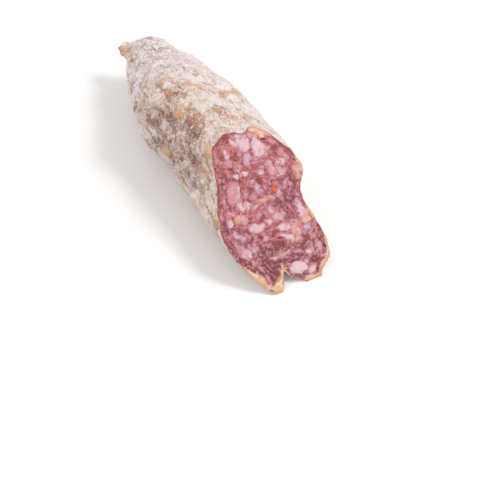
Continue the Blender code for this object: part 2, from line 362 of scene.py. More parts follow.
rim = [drawn_in(outer[-1], inward) + lift * CUT_OUTWARD for inward, lift in RIM_ROUNDING]
rings = list(outer) + rim + inner_rows(WALL, INNER_ROWS)
points = np.concatenate(rings)
faces = []
for row in range(len(rings) - 1):
    first = row * SIDES_ROUND
    for i in range(SIDES_ROUND):
        j = (i + 1) % SIDES_ROUND
        faces.append((first + i, first + j, first + j + SIDES_ROUND, first + i + SIDES_ROUND))
tip = len(points)
points = np.vstack([points, rings[0].mean(axis=0) - (0.4, 0.0, 0.0), rings[-1].mean(axis=0)])
last = tip - SIDES_ROUND
for i in range(SIDES_ROUND):
    j = (i + 1) % SIDES_ROUND
    faces.append((j, i, tip))
    faces.append((last + i, last + j, tip + 1))


# The dried rim that has gone tan: degrees round the section, its width, and its spread
TAN_RIM = (
    (-131, 2.6, 12), (-110, 4, 7), (-96, 0.3, 4), (-68, 1.3, 8), (-44, 1.2, 10), (-14, 1.4, 4),
    (18, 1.6, 4), (60, 2.6, 6),
)


def tan_width(turn):
    """How far the tan, dried rim reaches in from the casing, in millimetres."""
    width = np.full_like(turn, 0.15)
    for degrees, rise, spread in TAN_RIM:
        width += rise * bell(np.degrees(turn_between(turn, math.radians(degrees))), spread)
    return width


def piece_from(name, points, faces):
    mesh = bpy.data.meshes.new(name)
    mesh.from_pydata([tuple(point) for point in in_metres(points).tolist()], [], faces)
    mesh.validate()
    mesh.shade_smooth()
    piece = bpy.data.objects.new(name, mesh)
    bpy.context.scene.collection.objects.link(piece)
    return piece


def note_on(piece, name, values):
    """Writes one number for each point of a piece, for its material to read."""
    full = np.zeros(len(piece.data.vertices), dtype=np.float32)
    full[: len(values)] = values
    piece.data.attributes.new(name, "FLOAT", "POINT").data.foreach_set("value", full)


casing = piece_from("casing", points, faces)
for name, values in (
    ("bare", bare), ("amber", amber), ("flank", flank), ("cover", cover), ("fold", fold),
    ("tail", tail), ("nub", nub), ("stain", stain),
):
    note_on(casing, name, values.ravel())
cut_edge = np.ones(len(points))
cut_edge[: outer[:-1].size // 3] = 0.0
note_on(casing, "cut_edge", cut_edge)
note_on(casing, "tan_edge", np.tile(eased(0.5, 1.6, tan_width(angles)), len(rings)))


def paint(red, green, blue):
    """A colour as it looks in daylight, 0 to 255, for a shader."""
    value = np.array([red, green, blue]) / 255.0
    linear = np.where(value <= 0.04045, value / 12.92, ((value + 0.055) / 1.055) ** 2.4)
    return (*linear.tolist(), 1.0)


def fill(socket, value, tree):
    if isinstance(value, bpy.types.NodeSocket):
        tree.links.new(value, socket)
    else:
        socket.default_value = value


def add_node(tree, kind, inputs=(), **settings):
    made = tree.nodes.new(kind)
    for name, value in settings.items():
        setattr(made, name, value)
    for name, value in dict(inputs).items():
        fill(made.inputs[name], value, tree)
    return made


def sums(tree, operation, *values):
    made = add_node(tree, "ShaderNodeMath", operation=operation)
    for i, value in enumerate(values):
        fill(made.inputs[i], value, tree)
    return made.outputs[0]


def times(tree, value, share):
    return sums(tree, "MULTIPLY", value, share)


def off_middle(tree, pattern):
    """How far a pattern lies from its middle value, a half."""
    return sums(tree, "SUBTRACT", pattern, 0.5)


def more(tree, value, other, share):
    """A value with a share of another added to it."""
    return sums(tree, "MULTIPLY_ADD", other, share, value)


def mixed(tree, share, first, second):
    """Two colours or patterns mixed; a colour may be written as it looks in daylight."""
    made = add_node(tree, "ShaderNodeMix", data_type="RGBA")
    fill(made.inputs[0], share, tree)
    for socket, colour in ((made.inputs[6], first), (made.inputs[7], second)):
        fill(socket, paint(*colour) if isinstance(colour, tuple) else colour, tree)
    return made.outputs[2]


def between(tree, value, low, high, start=0.0, end=1.0):
    inputs = {"Value": value, "From Min": low, "From Max": high, "To Min": start, "To Max": end}
    made = add_node(tree, "ShaderNodeMapRange", inputs, interpolation_type="SMOOTHSTEP")
    return made.outputs[0]


def ramp(tree, value, low, high, first, second):
    """The first colour where a value is low, turning to the second where it is high."""
    return mixed(tree, between(tree, value, low, high), first, second)


def noted(tree, name):
    return add_node(tree, "ShaderNodeAttribute", attribute_name=name).outputs["Fac"]


def millimetres(tree, stretch=(1.0, 1.0, 1.0), start=(0.0, 0.0, 0.0)):
    place = add_node(tree, "ShaderNodeTexCoord").outputs["Object"]
    scale = tuple(1.0 / MM * part for part in stretch)
    inputs = {"Vector": place, "Scale": scale, "Location": start}
    return add_node(tree, "ShaderNodeMapping", inputs).outputs[0]


def mottle(tree, place, size, detail=3.0, roughness=0.6, distortion=0.0):
    inputs = {"Vector": place, "Scale": 1.0 / size, "Detail": detail}
    inputs.update({"Roughness": roughness, "Distortion": distortion})
    return add_node(tree, "ShaderNodeTexNoise", inputs).outputs[0]


def finish_named(name):
    finish = bpy.data.materials.new(name)
    finish.use_nodes = True
    tree = finish.node_tree
    return finish, tree, tree.nodes["Principled BSDF"]


mould_finish, tree, shader = finish_named("white_mould_on_amber_casing")
place = millimetres(tree)
long_place = millimetres(tree, (0.42, 1.0, 1.0), (7.0, 3.0, 0.0))
flank_share = noted(tree, "flank")
cover_share = noted(tree, "cover")
tail_share = noted(tree, "tail")
fine = mottle(tree, place, 0.7, 4.0, 0.7)
clumps = mottle(tree, place, 1.5, 4.0, 0.7, 0.6)
worms = mottle(tree, place, 0.80, 4.0, 0.74, 1.2)
streaks = mottle(tree, long_place, 0.62, 4.0, 0.75, 0.9)
coarse = mottle(tree, place, 4.0, 3.0, 0.6, 0.4)
broad = mottle(tree, place, 11.0, 2.0, 0.5)
creases = mottle(tree, millimetres(tree, (0.7, 1.0, 1.0), (2.0, 9.0, 4.0)), 4.6, 3.0, 0.55, 0.5)
wrinkles = mottle(tree, millimetres(tree, (0.8, 1.0, 1.0), (5.0, 1.0, 8.0)), 2.4, 3.0, 0.6, 0.8)
fine_shift = off_middle(tree, fine)
clump_shift = off_middle(tree, clumps)

# the dusty crust: lilac-white to cream, grey on the flank partly as painted shade, and greyed
# as painted shade in its small hollows and away from the tail
creamy = more(tree, broad, tail_share, -0.16)
creamy = more(tree, creamy, flank_share, 0.06)
colour = ramp(tree, creamy, 0.42, 0.58, (244, 236, 239), (246, 238, 229))
# painted shade: the low spots of the fine bumps are greyed
colour = mixed(tree, between(tree, fine, 0.36, 0.60, 0.30, 0.0), colour, (200, 184, 178))
# partly painted shade: the crust on the flank and underside, turned from the key light, is greyed
colour = mixed(tree, times(tree, flank_share, 0.45), colour, (204, 190, 182))
# painted shade: the crust away from the tail is greyed, toning down the key light that falls brightest
# there
shade_away_from_tail = between(tree, tail_share, 0.2, 1.0, 0.24, 0.0)
colour = mixed(tree, shade_away_from_tail, colour, (206, 190, 186))
thinned = between(tree, coarse, 0.44, 0.66, 0.0, 0.50)
colour = mixed(tree, thinned, colour, (216, 194, 190))
stained = times(tree, noted(tree, "stain"), between(tree, clumps, 0.40, 0.58))
colour = mixed(tree, times(tree, stained, 0.8), colour, (196, 156, 130))

# dark specks where the crust is broken: rare on top, dense and lengthwise on the flank
grains = mixed(tree, times(tree, flank_share, 0.95), worms, streaks)
limit = sums(tree, "ADD", times(tree, cover_share, 0.21), 0.432)
limit = more(tree, limit, flank_share, -0.045)
limit = more(tree, limit, off_middle(tree, coarse), -0.22)
depth = sums(tree, "SUBTRACT", grains, limit)
specks = between(tree, depth, -0.012, 0.035)
speck_colour = ramp(tree, depth, 0.0, 0.07, (176, 146, 130), (124, 88, 76))
speck_colour = ramp(tree, depth, 0.07, 0.15, speck_colour, (84, 54, 50))
colour = mixed(tree, times(tree, specks, 0.88), colour, speck_colour)

# painted shade in the creases: thin brown marks along the wrinkles and folds, most of all towards the
# tail
crease_gap = sums(tree, "ABSOLUTE", off_middle(tree, creases))
crease_shade = between(tree, crease_gap, 0.0, 0.026, 1.0, 0.0)
wrinkle_gap = sums(tree, "ABSOLUTE", off_middle(tree, wrinkles))
crease_shade = sums(tree, "MAXIMUM", crease_shade, between(tree, wrinkle_gap, 0.0, 0.03, 0.9, 0.0))
crease_shade = times(tree, crease_shade, between(tree, clumps, 0.40, 0.56))
crease_shade = times(tree, crease_shade, sums(tree, "ADD", times(tree, tail_share, 0.85), 0.2))
crease_shade = sums(tree, "MAXIMUM", crease_shade, times(tree, noted(tree, "fold"), 0.7))
colour = mixed(tree, times(tree, crease_shade, 0.85), colour, (152, 110, 94))

# bare skin, red-brown to amber, with ragged edges and grains of mould left on it
bareness = noted(tree, "bare")
tone = more(tree, noted(tree, "amber"), clump_shift, 1.3)
tone = more(tree, tone, off_middle(tree, coarse), 1.4)
tone = more(tree, tone, sums(tree, "SUBTRACT", bareness, 0.8), 0.6)
skin_colour = ramp(tree, tone, -0.1, 0.45, (136, 84, 64), (188, 132, 98))
skin_colour = ramp(tree, tone, 0.5, 1.0, skin_colour, (210, 168, 116))
ragged = more(tree, bareness, clump_shift, 1.4)
ragged = more(tree, ragged, fine_shift, 1.8)
ragged = between(tree, ragged, 0.38, 0.74)
veiled = more(tree, fine, clump_shift, 0.6)
veiled = between(tree, veiled, 0.36, 0.56, 0.20, 1.0)
colour = mixed(tree, times(tree, ragged, veiled), colour, skin_colour)
nub_colour = ramp(tree, clumps, 0.38, 0.50, (142, 80, 58), (206, 140, 98))
nub_colour = ramp(tree, clumps, 0.50, 0.62, nub_colour, (232, 190, 150))
nub_share = more(tree, noted(tree, "nub"), clump_shift, 2.0)
nub_share = between(tree, nub_share, 0.25, 0.60, 0.0, 0.92)
colour = mixed(tree, nub_share, colour, nub_colour)
edge_colour = mixed(tree, noted(tree, "tan_edge"), (176, 104, 96), (228, 172, 134))
colour = mixed(tree, noted(tree, "cut_edge"), colour, edge_colour)
fill(shader.inputs["Base Color"], colour, tree)
smooth_skin = sums(tree, "MAXIMUM", ragged, nub_share)
fill(shader.inputs["Roughness"], between(tree, smooth_skin, 0.0, 1.0, 0.90, 0.50), tree)
heights = more(tree, times(tree, fine, 1.2), specks, -0.5)
heights = more(tree, heights, ragged, -0.5)
heights = more(tree, heights, crease_shade, -0.7)
relief_node = add_node(tree, "ShaderNodeBump", {"Strength": 0.7, "Distance": 0.0003, "Height": heights})
fill(shader.inputs["Normal"], relief_node.outputs[0], tree)
shader.inputs["Subsurface Weight"].default_value = 0.10
shader.inputs["Subsurface Radius"].default_value = (1.0, 0.55, 0.4)
shader.inputs["Subsurface Scale"].default_value = 0.001
shader.inputs["Specular IOR Level"].default_value = 0.30
casing.data.materials.append(mould_finish)
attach(casing, "root")
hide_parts("sausage")


# The meat
# Coarsely ground pork, lean and back fat, cured and pressed solid. The knife has left a
# slightly waved face where the fat stands a little proud of the darker, fibrous lean.

# Fat seen on the face, and painted glints of light on its moist surface: place to the side
# and down the slope, half-length, half-width, turn, and look. The white spots at (5, -35.6),
# (16.5, -17.6), (14.3, -17.1), (-0.2, -23.9) and (7, -21.3), and the pale one at
# (12.1, -16.5), are painted glints.
FAT_PIECES_AND_GLINTS = (
    (0.2, -43.9, 1.5, 1.2, 80, "dull"), (4.2, -41, 2.9, 2.8, 100, "pale"),
    (4.6, -37.4, 3.5, 2.9, 95, "pale"), (5, -35.6, 1.3, 1, 30, "white"),
    (-0.5, -39.7, 2.9, 1.7, 60, "pale"), (9.4, -41, 1.4, 1.1, 60, "pink"),
    (12.2, -29.8, 2.6, 1.7, 20, "dull"), (10.3, -37.6, 2.8, 1.5, 95, "pale"),
    (10.5, -33, 3.6, 3.2, 75, "pale"), (15, -41.4, 4.2, 1.6, 45, "tan"),
    (15.2, -38.2, 2.5, 0.9, 25, "pale"), (15.1, -31.4, 2, 1.3, 60, "peach"),
    (19, -33.6, 2, 1, 50, "peach"), (21.5, -27.3, 2.1, 1.3, 70, "dull"),
    (22, -24.1, 1.5, 1.4, 0, "peach"), (19.4, -22.8, 1.8, 1.3, 60, "pale"),
    (16.9, -22.9, 1, 1, 0, "pale"), (12.2, -23.8, 1.8, 1.9, 80, "pink"),
    (12.9, -20.3, 2.6, 2, 80, "pink"), (17.1, -18.9, 2.4, 2, 60, "pink"),
    (16.5, -17.6, 0.8, 0.5, 10, "white"), (14.3, -17.1, 0.6, 0.5, 0, "white"),
    (12.1, -16.5, 0.8, 0.5, 30, "pale"), (3.5, -30.8, 2, 1.9, 0, "lilac"),
    (2.1, -28.4, 1.2, 1.1, 0, "lilac"), (7.5, -28.7, 1.5, 0.8, 60, "pale"),
    (-0.2, -23.9, 1.6, 1, 175, "white"), (-3, -26.8, 2, 0.8, 110, "pale"),
    (-5.9, -24.5, 1.4, 1.1, 20, "pale"), (-4.5, -28, 1.7, 0.7, 110, "rust"),
    (-2.7, -38, 2.2, 1, 20, "rust"), (-6.9, -31.6, 2.4, 1.6, 10, "dull"),
    (-5.7, -36, 3, 1.3, 80, "pale"), (-8.1, -27.6, 1.4, 0.8, 30, "dull"),
    (6.9, -21.8, 2, 1.1, 10, "lilac"), (7, -21.3, 1, 0.6, 10, "white"),
    (8.2, -23.4, 0.9, 0.5, 100, "lilac"), (1, -18.5, 1.5, 1, 20, "lilac"),
    (2.4, -15, 2.5, 1.4, 92, "lilac"), (-10.2, -17, 5.2, 3.2, 118, "dull"),
    (-7.2, -18.6, 2.6, 0.8, 115, "pale"), (-8.6, -14.6, 2, 0.9, 110, "pink"),
    (-4.6, -14.4, 2.8, 0.6, 118, "pink"), (-9.5, -10.6, 2, 1.6, 90, "pale"),
    (-6.1, -8.9, 2, 1.2, 80, "pale"), (-8.6, -8.4, 2.7, 1.1, 21, "pale"),
    (-2.7, -7.2, 1.9, 0.8, 175, "pale"), (0.4, -8.8, 1.3, 0.6, 170, "pink"),
    (-1.2, -12, 1.9, 1.2, 0, "dull"), (3, -8.6, 2.3, 1.2, 0, "tan"), (6.4, -8.3, 1.9, 1.1, 0, "tan"),
    (6.1, -13.8, 1, 0.7, 120, "pale"), (3.7, -2.7, 2.1, 1.7, 90, "lilac"),
    (-2.9, -2.2, 2, 1.2, 150, "dull"), (0.9, 2.5, 1.7, 1.4, 60, "pale"), (6.3, 1.7, 3, 2.4, 30, "pink"),
    (9.4, 1.6, 1.5, 1.1, 30, "pink"), (-7.8, 2.6, 2.2, 1.8, 70, "pale"),
    (-4.6, 3.7, 3, 1.6, 175, "pale"), (-15.2, -8, 2.3, 1, 20, "pink"),
    (-13.4, -4.2, 2.2, 1.6, 60, "tan"), (-11, -3.2, 2.4, 1.9, 110, "peach"),
    (-17.9, -3.7, 1.8, 1.5, 30, "pale"), (-16.6, -14.5, 2.8, 0.7, 100, "pink"),
    (-20.9, -8.4, 2.5, 0.8, 110, "dull"), (-23.5, -4.1, 1.7, 1.3, 80, "lilac"),
    (-17.1, 2.8, 3, 1.5, 49, "lilac"), (-15, 5.6, 1.4, 1, 60, "lilac"),
    (-19.5, 7.1, 2.4, 0.9, 85, "dull"), (-17.5, 9.4, 1.1, 0.8, 60, "pale"),
    (-16.4, 12.8, 3, 2.3, 60, "pink"), (-15.4, 13.7, 1.6, 1.2, 30, "pale"),
    (-11.7, 11.8, 2.6, 1.4, 45, "lilac"), (-4.3, 9.3, 1.6, 1.2, 60, "pink"),
    (-7.1, 9.9, 1.1, 0.8, 30, "dull"), (-14.9, 18.4, 2.1, 1.4, 70, "dull"),
    (11.9, 11.2, 3.3, 2.5, 70, "peach"), (11.3, 15.2, 2.3, 1.5, 20, "peach"),
    (6.7, 7.4, 3.6, 1.6, 10, "pale"), (7.2, 13.3, 2.5, 1.6, 20, "pale"),
    (4.4, 10.8, 2, 1.1, 50, "white"), (12.6, 7.4, 2.1, 1.9, 0, "pink"),
    (12.6, 7.6, 1.2, 0.9, 0, "dull"), (18.6, 0, 3, 1.7, 95, "pale"), (18.9, 4.4, 3.2, 2.1, 85, "pale"),
    (19.3, 7.8, 2.2, 1.9, 60, "tan"), (22.9, 6.8, 2.3, 1.1, 95, "rust"),
    (17.9, 12, 1.8, 1.7, 80, "lilac"), (19.1, 16.6, 2.3, 0.8, 80, "dull"),
    (16.1, 21.8, 2.6, 0.9, 98, "lilac"), (13.9, 23, 1.4, 1.2, 0, "pale"),
    (20.1, 22.7, 3, 1.6, 85, "pink"), (0.6, 19.9, 4.6, 1, 1, "lilac"),
    (-4.2, 20.2, 1.2, 0.8, 0, "pale"), (9.2, 21.5, 2.7, 0.7, 30, "pink"),
    (5.6, 28.5, 4.3, 2.5, 20, "white"), (11.8, 32, 2.8, 1.6, 150, "pale"),
    (11.3, 27.3, 1.5, 1.1, 10, "pale"), (-11.4, 28.1, 2.2, 0.8, 73, "pink"),
    (8.6, 34.6, 2.8, 0.9, 20, "peach"), (25.1, -15.6, 3.4, 1.6, 100, "peach"),
    (24.9, -12.6, 1.8, 1.3, 0, "tan"), (16.1, -11.9, 2.7, 0.8, 118, "lilac"),
    (11.8, -8.9, 2.2, 1.2, 100, "pink"), (20.3, -4.6, 1, 0.7, 30, "pink"),
    (12, -13, 1.2, 0.8, 20, "rust"), (22.5, 14.5, 1.6, 0.7, 95, "dull"),
    (-21.5, 1.5, 1.6, 0.6, 60, "dull"), (-12.5, 5.5, 1.4, 0.6, 75, "dull"),
    (-9.4, 5.8, 1.2, 0.6, 40, "pink"), (1.8, -22, 0.8, 0.5, 60, "dull"),
    (-12.6, 23, 1.6, 0.6, 70, "dull"),
)
# Each look: colour from lilac (0) by pink and tan (1) to rust (1.5), and how pale the fat is
FAT_LOOKS = {
    # white: white fat, and also the painted glints
    "white": (0.35, 1.20),
    "pale": (0.32, 0.74),
    "pink": (0.42, 0.32),
    "dull": (0.42, 0.05),
    "lilac": (0.10, 0.40),
    "peach": (0.70, 0.35),
    "tan": (0.92, 0.45),
    "rust": (1.40, 0.00),
}
# Which way the strands of lean run: place to the side and down the slope, degrees, spread
STRAND_LAYS = (
    (0, 16, 5, 9), (-5, 25, 67, 6), (-21, 6, 93, 6), (-14, -22, 112, 8), (-4, -14, 118, 6),
    (16, 17, 150, 6), (7, -25, 15, 8), (15, -4, 70, 6), (20, -30, 55, 8), (-8, -38, 140, 7),
    (-8, 3, 20, 6), (2, 3, 160, 6),
)
STRAND_LENGTH = 6.5
STRAND_WIDTH = 0.95
FLECK_SEED = 23
FLECKS = 420
FLECK_LONG = (0.30, 1.20)
FLECK_WIDE = (0.35, 0.75)
# Lighter, fat-smeared areas and darker ones: side, down, spread, how much lighter
SMEARED_AREAS = (
    (-9.5, -14, 7, 0.06), (11, 12, 6, 0.34), (14, -21, 6, 0.30), (-12, -5, 6, 0.22), (-7, -33, 6, 0.18),
    (9, -34, 7, 0.26), (5, 1, 6, 0.20), (-2, -6, 6, 0.16), (9, 31, 6, 0.24), (19, 5, 4, 0.24),
    (19, 23, 4, 0.20), (-16.5, 12, 4, 0.24), (3, -25, 4, -0.12), (16, -6, 5, -0.16),
    (12.5, 18.5, 3.5, -0.30), (-23, 2, 5, -0.22), (-6, 25, 7, -0.14), (-13, -25, 4, -0.16),
    (2, -46, 3, -0.20), (-2, 16.5, 5, -0.16), (-16, 18, 4, -0.16),
)
PURPLE_AREAS = (
    (14, -7, 6, 0.9), (-16, 15, 7, 0.8), (14, 16, 6, 0.9), (-7, 24, 9, 0.7), (-17, 5, 5, 0.7),
    (17, 0, 5, 0.5), (4, 27, 7, 0.6), (-16, -24, 4, 0.8),
)
RED_AREAS = (
    (-9.0, -33.0, 5.0, 0.8), (24.0, -28.0, 5.0, 0.6), (-2.0, -38.0, 4.0, 0.7),
    (16.0, -34.0, 5.0, 0.8), (-6.0, -12.0, 6.0, 0.5), (2.0, 12.0, 7.0, 0.5),
)
# Cracks and pits, sunk into the face and painted dark as the shade inside them: side, down,
# half-length, half-width, turn, depth
PITS = (
    (15.3, -36.5, 1.5, 0.35, 35, 0.8), (-16.8, -2, 1, 0.30, 120, 0.6), (9, -6.3, 0.5, 0.3, 20, 0.6),
    (16.7, 3.9, 0.7, 0.3, 70, 0.6), (0.4, 8.1, 0.6, 0.4, 20, 0.3), (7.4, 14.9, 1, 0.3, 150, 0.4),
    (-22.4, 14.1, 0.8, 0.5, 60, 0.5), (4, -14.5, 0.7, 0.4, 0, 0.5), (-4.9, 21.4, 0.9, 0.6, 30, 0.5),
    (12.5, 7.1, 0.8, 0.4, 30, 0.5), (-14, -27, 0.7, 0.4, 60, 0.4), (23, 18, 0.6, 0.4, 60, 0.4),
)
FACE_SPACING = 0.27
CORE_ROWS = 22

edge = drawn_in(outer[-1], 0.2)
edge_side = edge[:, 1]
edge_down = (edge - CUT_MIDDLE) @ CUT_DOWN
loop = np.stack([edge_side, edge_down], axis=1)
centre = edge.mean(axis=0)


def round_section(side, down):
    """Degrees round the sausage and distance from its middle, for places on the face."""
    up = CUT_MIDDLE[2] + down * CUT_DOWN[2] - centre[2]
    return np.arctan2(up, side - centre[1]), np.hypot(up, side - centre[1])


edge_turn, edge_far = round_section(edge_side, edge_down)
order = np.argsort(edge_turn)


def depth_inside(side, down):
    turn, far = round_section(side, down)
    reach = np.interp(turn, edge_turn[order], edge_far[order], period=2.0 * math.pi)
    return reach - far


rows_down = np.arange(edge_down.min(), edge_down.max(), FACE_SPACING * 0.866)
columns = np.arange(edge_side.min(), edge_side.max(), FACE_SPACING)
grid_side, grid_down = np.meshgrid(columns, rows_down)
grid_side[1::2] += 0.5 * FACE_SPACING
kept = depth_inside(grid_side, grid_down) > 0.16
flat = np.concatenate([loop, np.stack([grid_side[kept], grid_down[kept]], axis=1)])
ring_edges = [(i, (i + 1) % SIDES_ROUND) for i in range(SIDES_ROUND)]
cut = delaunay_2d_cdt([Vector(spot) for spot in flat.tolist()], ring_edges, [], 1, 1e-5)
flat = np.array([tuple(spot) for spot in cut[0]])
from_loop = {}
for index, sources in enumerate(cut[3]):
    for source in sources:
        if source < SIDES_ROUND:
            from_loop[source] = index
side, down = flat[:, 0], flat[:, 1]
spot = np.stack([side, down, np.zeros_like(side)], axis=1)
turn, _ = round_section(side, down)
inward = depth_inside(side, down)

bent_side = side + 1.1 * grain(spot, 3.6, 81) + 0.7 * grain(spot, 1.7, 82)
bent_down = down + 1.1 * grain(spot, 3.6, 83) + 0.7 * grain(spot, 1.7, 84)
fat = np.full_like(side, -3.0)
fat_tone = np.full_like(side, 0.4)
fat_pale = np.full_like(side, 0.4)


def lay_fat_and_glints(where_side, where_down, half_long, half_wide, turned, tone, pale):
    near = np.hypot(side - where_side, down - where_down) < half_long + 3.5
    u, v = turned_by(turned, bent_side[near] - where_side, bent_down[near] - where_down)
    depth = (1.0 - np.hypot(u / half_long, v / half_wide)) * min(half_long, half_wide)
    change = eased(-0.15, 0.45, depth)
    fat_tone[near] += (tone - fat_tone[near]) * change
    fat_pale[near] += (pale - fat_pale[near]) * change
    fat[near] = np.maximum(fat[near], depth)


for where_side, where_down, half_long, half_wide, turned, look in FAT_PIECES_AND_GLINTS:
    lay_fat_and_glints(where_side, where_down, 1.15 * half_long, 1.2 * half_wide, turned, *FAT_LOOKS[look])
main_fat = fat.copy()
draw = np.random.default_rng(FLECK_SEED)
for _ in range(FLECKS):
    half_long = draw.uniform(*FLECK_LONG)
    lay_fat_and_glints(draw.uniform(-27.0, 27.0), draw.uniform(-46.0, 38.0), half_long,
            half_long * draw.uniform(*FLECK_WIDE), draw.uniform(0.0, 180.0),
            draw.uniform(0.0, 0.8), draw.uniform(-0.2, 0.4))

strands = 0.2 * grain(spot, 1.2, 91)
calm_side = side + 0.4 * (bent_side - side)
calm_down = down + 0.4 * (bent_down - down)
weights = np.full_like(side, 0.09)
for order_of_lay, (where_side, where_down, degrees, spread) in enumerate(STRAND_LAYS):
    weight = bell(np.hypot(side - where_side, down - where_down), spread)
    run, step = turned_by(degrees, calm_side, calm_down)
    place = np.stack([run / STRAND_LENGTH, step / STRAND_WIDTH, np.zeros_like(side)], axis=1)
    strands += weight * grain(place, 1.0, 60 + order_of_lay)
    weights += weight ** 2
fibre = strands / np.sqrt(weights)
clump = grain(spot, 2.6, 93)
crumb = grain(spot, 1.1, 94)
lean = 0.5 + (0.5 + 0.22 * eased(2.0, 16.0, down)) * fibre + 0.40 * clump + 0.18 * crumb
lean -= 0.14 + 0.17 * eased(8.0, 24.0, down)
for where_side, where_down, spread, lighter in SMEARED_AREAS:
    lean += 0.85 * lighter * bell(np.hypot(bent_side - where_side, bent_down - where_down), spread)
around_fat = np.stack([side / 2.8, down / 2.8, main_fat * 1.5], axis=1)
wraps = bell(grain(around_fat, 1.0, 88), 0.11) * eased(-0.25, 0.35, grain(spot, 4.0, 89))
threads = bell(grain(around_fat + 7.3, 1.1, 87), 0.07) * eased(-0.1, 0.4, grain(spot, 5.0, 86))
lean += 0.40 * threads - 0.55 * wraps
lean -= 0.34 * bell(fibre, 0.13) * eased(-0.35, 0.25, grain(spot, 3.4, 92))
lean += 0.46 * bell(fibre - 0.32, 0.11) * (0.4 + 0.6 * eased(2.0, 14.0, down))


def tinted_areas(areas, uneven):
    total = np.zeros_like(side)
    for where_side, where_down, spread, strength in areas:
        total += strength * bell(np.hypot(side - where_side, down - where_down), spread)
    return np.clip(total * (1.0 + uneven), 0.0, 1.0)


purple = tinted_areas(PURPLE_AREAS, 0.8 * grain(spot, 4.0, 95))
red = tinted_areas(RED_AREAS, 0.9 * grain(spot, 3.0, 96))
pit = np.zeros_like(side)
for where_side, where_down, half_long, half_wide, turned, depth in PITS:
    u, v = turned_by(turned, side - where_side, down - where_down)
    far = np.hypot(u / half_long, v / half_wide)
    far += 0.5 * grain(spot, 0.8, 85)
    pit = np.maximum(pit, depth * (1.0 - eased(0.5, 1.3, far)))
rim_width = tan_width(turn) * (1.0 + 0.35 * grain(spot, 3.0, 97))
tan_rim = 1.0 - eased(0.45, 1.35, inward / np.maximum(rim_width, 0.05))

is_fat = eased(-0.12, 0.25, fat)
rise = 0.46 * is_fat * (0.3 + 0.7 * eased(0.0, 1.6, fat)) + 0.24 * (lean - 0.5) * (1.0 - is_fat)
rise += 0.05 * grain(spot, 0.7, 98) - 0.75 * pit - 0.10 * bell(fat - 0.05, 0.12)
rise += 0.22 * grain(spot, 4.4, 99) - 0.20 * bell(inward - 0.55, 0.35) * (1.0 - tan_rim)
rise *= eased(0.0, 0.5, inward)
height = (knife_wave(side, down) + rise)[:, None]
face = CUT_MIDDLE + CUT_DOWN * down[:, None] + CUT_OUTWARD * height
face[:, 1] = side

core = inner_rows(WALL + 0.25, CORE_ROWS)
points = np.concatenate([face] + core + [core[-1].mean(axis=0)[None, :]])
faces = [tuple(reversed(triangle)) for triangle in cut[2]]
edge_of = [from_loop[i] for i in range(SIDES_ROUND)]
starts = [edge_of]
for row in range(len(core)):
    first = len(face) + row * SIDES_ROUND
    starts.append(list(range(first, first + SIDES_ROUND)))
for near, far in zip(starts, starts[1:]):
    for i in range(SIDES_ROUND):
        j = (i + 1) % SIDES_ROUND
        faces.append((near[j], near[i], far[i], far[j]))
tail_end = len(points) - 1
for i in range(SIDES_ROUND):
    faces.append((starts[-1][(i + 1) % SIDES_ROUND], starts[-1][i], tail_end))

meat = piece_from("meat", points, faces)
for name, values in (
    ("fat", fat), ("fat_tone", fat_tone), ("fat_pale", fat_pale), ("lean", lean),
    ("purple", purple), ("red", red), ("pit", pit), ("tan_rim", tan_rim), ("inward", inward),
):
    note_on(meat, name, values)

meat_finish, tree, shader = finish_named("cured_pork_cut_face")
place = millimetres(tree)
fine = mottle(tree, place, 0.5, 3.0, 0.7)
soft = mottle(tree, place, 1.5, 4.0, 0.65, 0.6)
broad = mottle(tree, place, 5.0, 3.0, 0.6, 0.5)
fine_shift = off_middle(tree, fine)
soft_shift = off_middle(tree, soft)
broad_shift = off_middle(tree, broad)

# lean: rose, with thin dark strands and paler, fat-smeared places between them
strand = mottle(tree, place, 2.1, 3.0, 0.6, 1.0)
glint_and_speck_noise = mottle(tree, place, 0.42, 1.0, 0.5, 0.3)
strand_gap = sums(tree, "ABSOLUTE", off_middle(tree, strand))
lean_share = more(tree, noted(tree, "lean"), fine_shift, 0.5)
lean_share = more(tree, lean_share, broad_shift, 0.8)
lean_share = sums(tree, "ADD", lean_share, between(tree, strand_gap, 0.0, 0.03, -0.35, 0.06))
lean_colour = ramp(tree, lean_share, -0.10, 0.45, (114, 32, 40), (176, 80, 88))
lean_colour = ramp(tree, lean_share, 0.40, 1.05, lean_colour, (208, 136, 146))
purpled = ramp(tree, lean_share, 0.0, 1.0, (124, 60, 76), (200, 130, 146))
lean_colour = mixed(tree, times(tree, noted(tree, "purple"), 0.45), lean_colour, purpled)
reddened = ramp(tree, lean_share, 0.0, 1.0, (150, 54, 52), (216, 128, 120))
lean_colour = mixed(tree, times(tree, noted(tree, "red"), 0.7), lean_colour, reddened)

# fat: dull lilac, pink or tan, paler towards the middle of each piece, partly as a painted
# highlight on its raised top; a few white spots are painted glints
tone = more(tree, noted(tree, "fat_tone"), soft_shift, 0.5)
fat_colour = ramp(tree, tone, 0.0, 0.5, (190, 142, 166), (206, 136, 146))
fat_colour = ramp(tree, tone, 0.55, 1.0, fat_colour, (214, 146, 118))
fat_colour = ramp(tree, tone, 1.05, 1.5, fat_colour, (200, 110, 88))
pale_colour = ramp(tree, tone, 0.1, 0.9, (230, 200, 212), (236, 192, 174))
# partly painted highlight: the middle of each piece is paled
depth_in_fat = between(tree, noted(tree, "fat"), 0.0, 1.4, -0.2, 0.25)
paleness = more(tree, noted(tree, "fat_pale"), soft_shift, 1.8)
paleness = more(tree, paleness, fine_shift, 0.8)
paleness = sums(tree, "ADD", paleness, depth_in_fat)
fat_colour = ramp(tree, paleness, 0.1, 1.15, fat_colour, pale_colour)
veins = between(tree, strand_gap, 0.0, 0.025, 0.45, 0.0)
fat_colour = mixed(tree, veins, fat_colour, (204, 134, 144))
fatness = more(tree, noted(tree, "fat"), soft_shift, 1.6)
fatness = more(tree, fatness, fine_shift, 0.7)
colour = ramp(tree, fatness, -0.60, 0.65, lean_colour, fat_colour)
